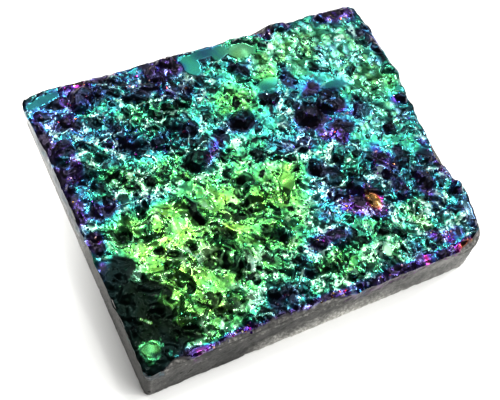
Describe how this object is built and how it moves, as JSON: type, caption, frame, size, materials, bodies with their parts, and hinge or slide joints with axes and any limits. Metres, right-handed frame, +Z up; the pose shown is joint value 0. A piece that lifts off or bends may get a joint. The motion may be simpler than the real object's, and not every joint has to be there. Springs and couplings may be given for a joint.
{
  "type": "druzy stone",
  "caption": "Hand-cut rectangular slab of dark stone with sawn sides and a crust of metal-coated crystals on its upper face.",
  "frame": {"origin": "middle of the sawn base, on the surface the stone lies on", "axes": "+X along the longer side, +Y along the shorter side, +Z up out of the crystal crust"},
  "size_m": [0.0261, 0.0214, 0.0043],
  "materials": {
    "coated_crystal": "gloss",
    "sawn_stone": "matte"
  },
  "bodies": {
    "root": {"druzy_stone": "coated_crystal"}
  },
  "joints": []
}
